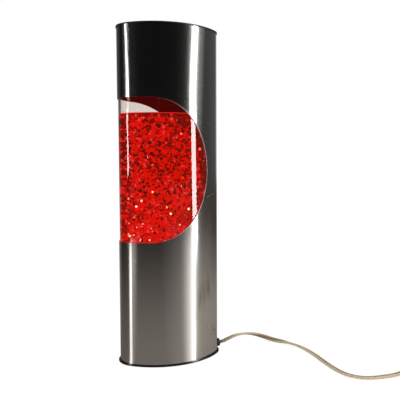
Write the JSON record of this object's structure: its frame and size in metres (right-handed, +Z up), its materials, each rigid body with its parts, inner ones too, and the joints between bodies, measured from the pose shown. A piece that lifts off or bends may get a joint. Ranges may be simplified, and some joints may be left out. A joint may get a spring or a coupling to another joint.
{
  "type": "glitter lamp",
  "caption": "Upright oval table lamp: a steel sleeve with a wrap-round window shows a tank of red glitter fluid lit from below, with a flat mains lead.",
  "frame": {"origin": "centre of the lamp's footprint, on the table under its feet, measured without the lead", "axes": "+Z up along the sleeve; +X along the oval's long axis, towards the end where the lead comes out; -Y towards the viewer"},
  "size_m": [0.4101, 0.1999, 0.36],
  "materials": {
    "brushed_steel": "brushed",
    "black_plastic": "satin",
    "rubber": "matte",
    "zinc_steel": "satin",
    "clear_acrylic": "clear",
    "red_fluid": "clear",
    "foil": "mirror flakes",
    "brass": "polished",
    "ivory_plastic": "satin",
    "solder": "satin",
    "black_glass": "gloss",
    "bulb_glass": "clear",
    "tan_lead": "satin",
    "brown_plastic": "satin"
  },
  "bodies": {
    "housing": {"sleeve": "brushed_steel", "base_tray": "black_plastic", "foot_pads": "rubber", "sleeve_screws": "zinc_steel", "tank_shelf": "zinc_steel", "shelf_legs": "zinc_steel", "shelf_seat": "rubber", "holder_bracket": "zinc_steel", "bracket_screws": "zinc_steel", "holder_nipple": "brass", "nipple_nut": "brass", "holder_body": "ivory_plastic", "holder_terminals": "brass", "holder_disc": "ivory_plastic", "holder_thread": "brass", "holder_tongue": "brass", "cord_bush": "black_plastic", "inner_lead": "tan_lead", "inner_wires": "tan_lead", "grip_bar": "black_plastic", "grip_screws": "zinc_steel", "cord_lead": "tan_lead", "cord_coil": "tan_lead", "coil_tie": "black_plastic", "switch_base": "brown_plastic", "switch_cover": "brown_plastic", "switch_screws": "zinc_steel", "switch_terminals": "brass", "switch_wire": "tan_lead", "plug_body": "brown_plastic", "plug_blades": "brass"},
    "tank": {"tank_body": "clear_acrylic", "tank_lid": "clear_acrylic", "filler_seal": "rubber", "filler_plug": "black_plastic", "glitter_fluid": "red_fluid", "glitter_flakes": "foil"},
    "cap": {"top_cap": "black_plastic"},
    "bulb_foot": {"bulb_tip": "solder"},
    "bulb": {"bulb_insulator": "black_glass", "bulb_cap": "brass", "bulb_glass": "bulb_glass", "bulb_stem": "bulb_glass", "bulb_filament": "solder"},
    "rocker": {"switch_rocker": "ivory_plastic", "switch_bridge": "brass"}
  },
  "joints": [
    {"name": "tank_lift", "type": "slide", "parent": "housing", "child": "tank", "axis": [0, 0, 1], "range_m": [0, 0.25]},
    {"name": "cap_lift", "type": "slide", "parent": "tank", "child": "cap", "axis": [0, 0, 1], "range_m": [0, 0.04]},
    {"name": "bulb_rise", "type": "slide", "parent": "housing", "child": "bulb_foot", "axis": [0, 0, 1], "range_m": [0, 0.0113]},
    {"name": "bulb_turn", "type": "hinge", "parent": "bulb_foot", "child": "bulb", "pos_m": [0, 0, 0.04], "axis": [0, 0, 1], "range_deg": [0, 1440]},
    {"name": "switch_rock", "type": "hinge", "parent": "housing", "child": "rocker", "pos_m": [0.241, -0.152, 0.0105], "axis": [0, 1, 0], "range_deg": [0, 16]}
  ],
  "couplings": [
    {"joint": "bulb_rise", "follows": "bulb_turn", "m_per_rad": 0.00044882}
  ]
}
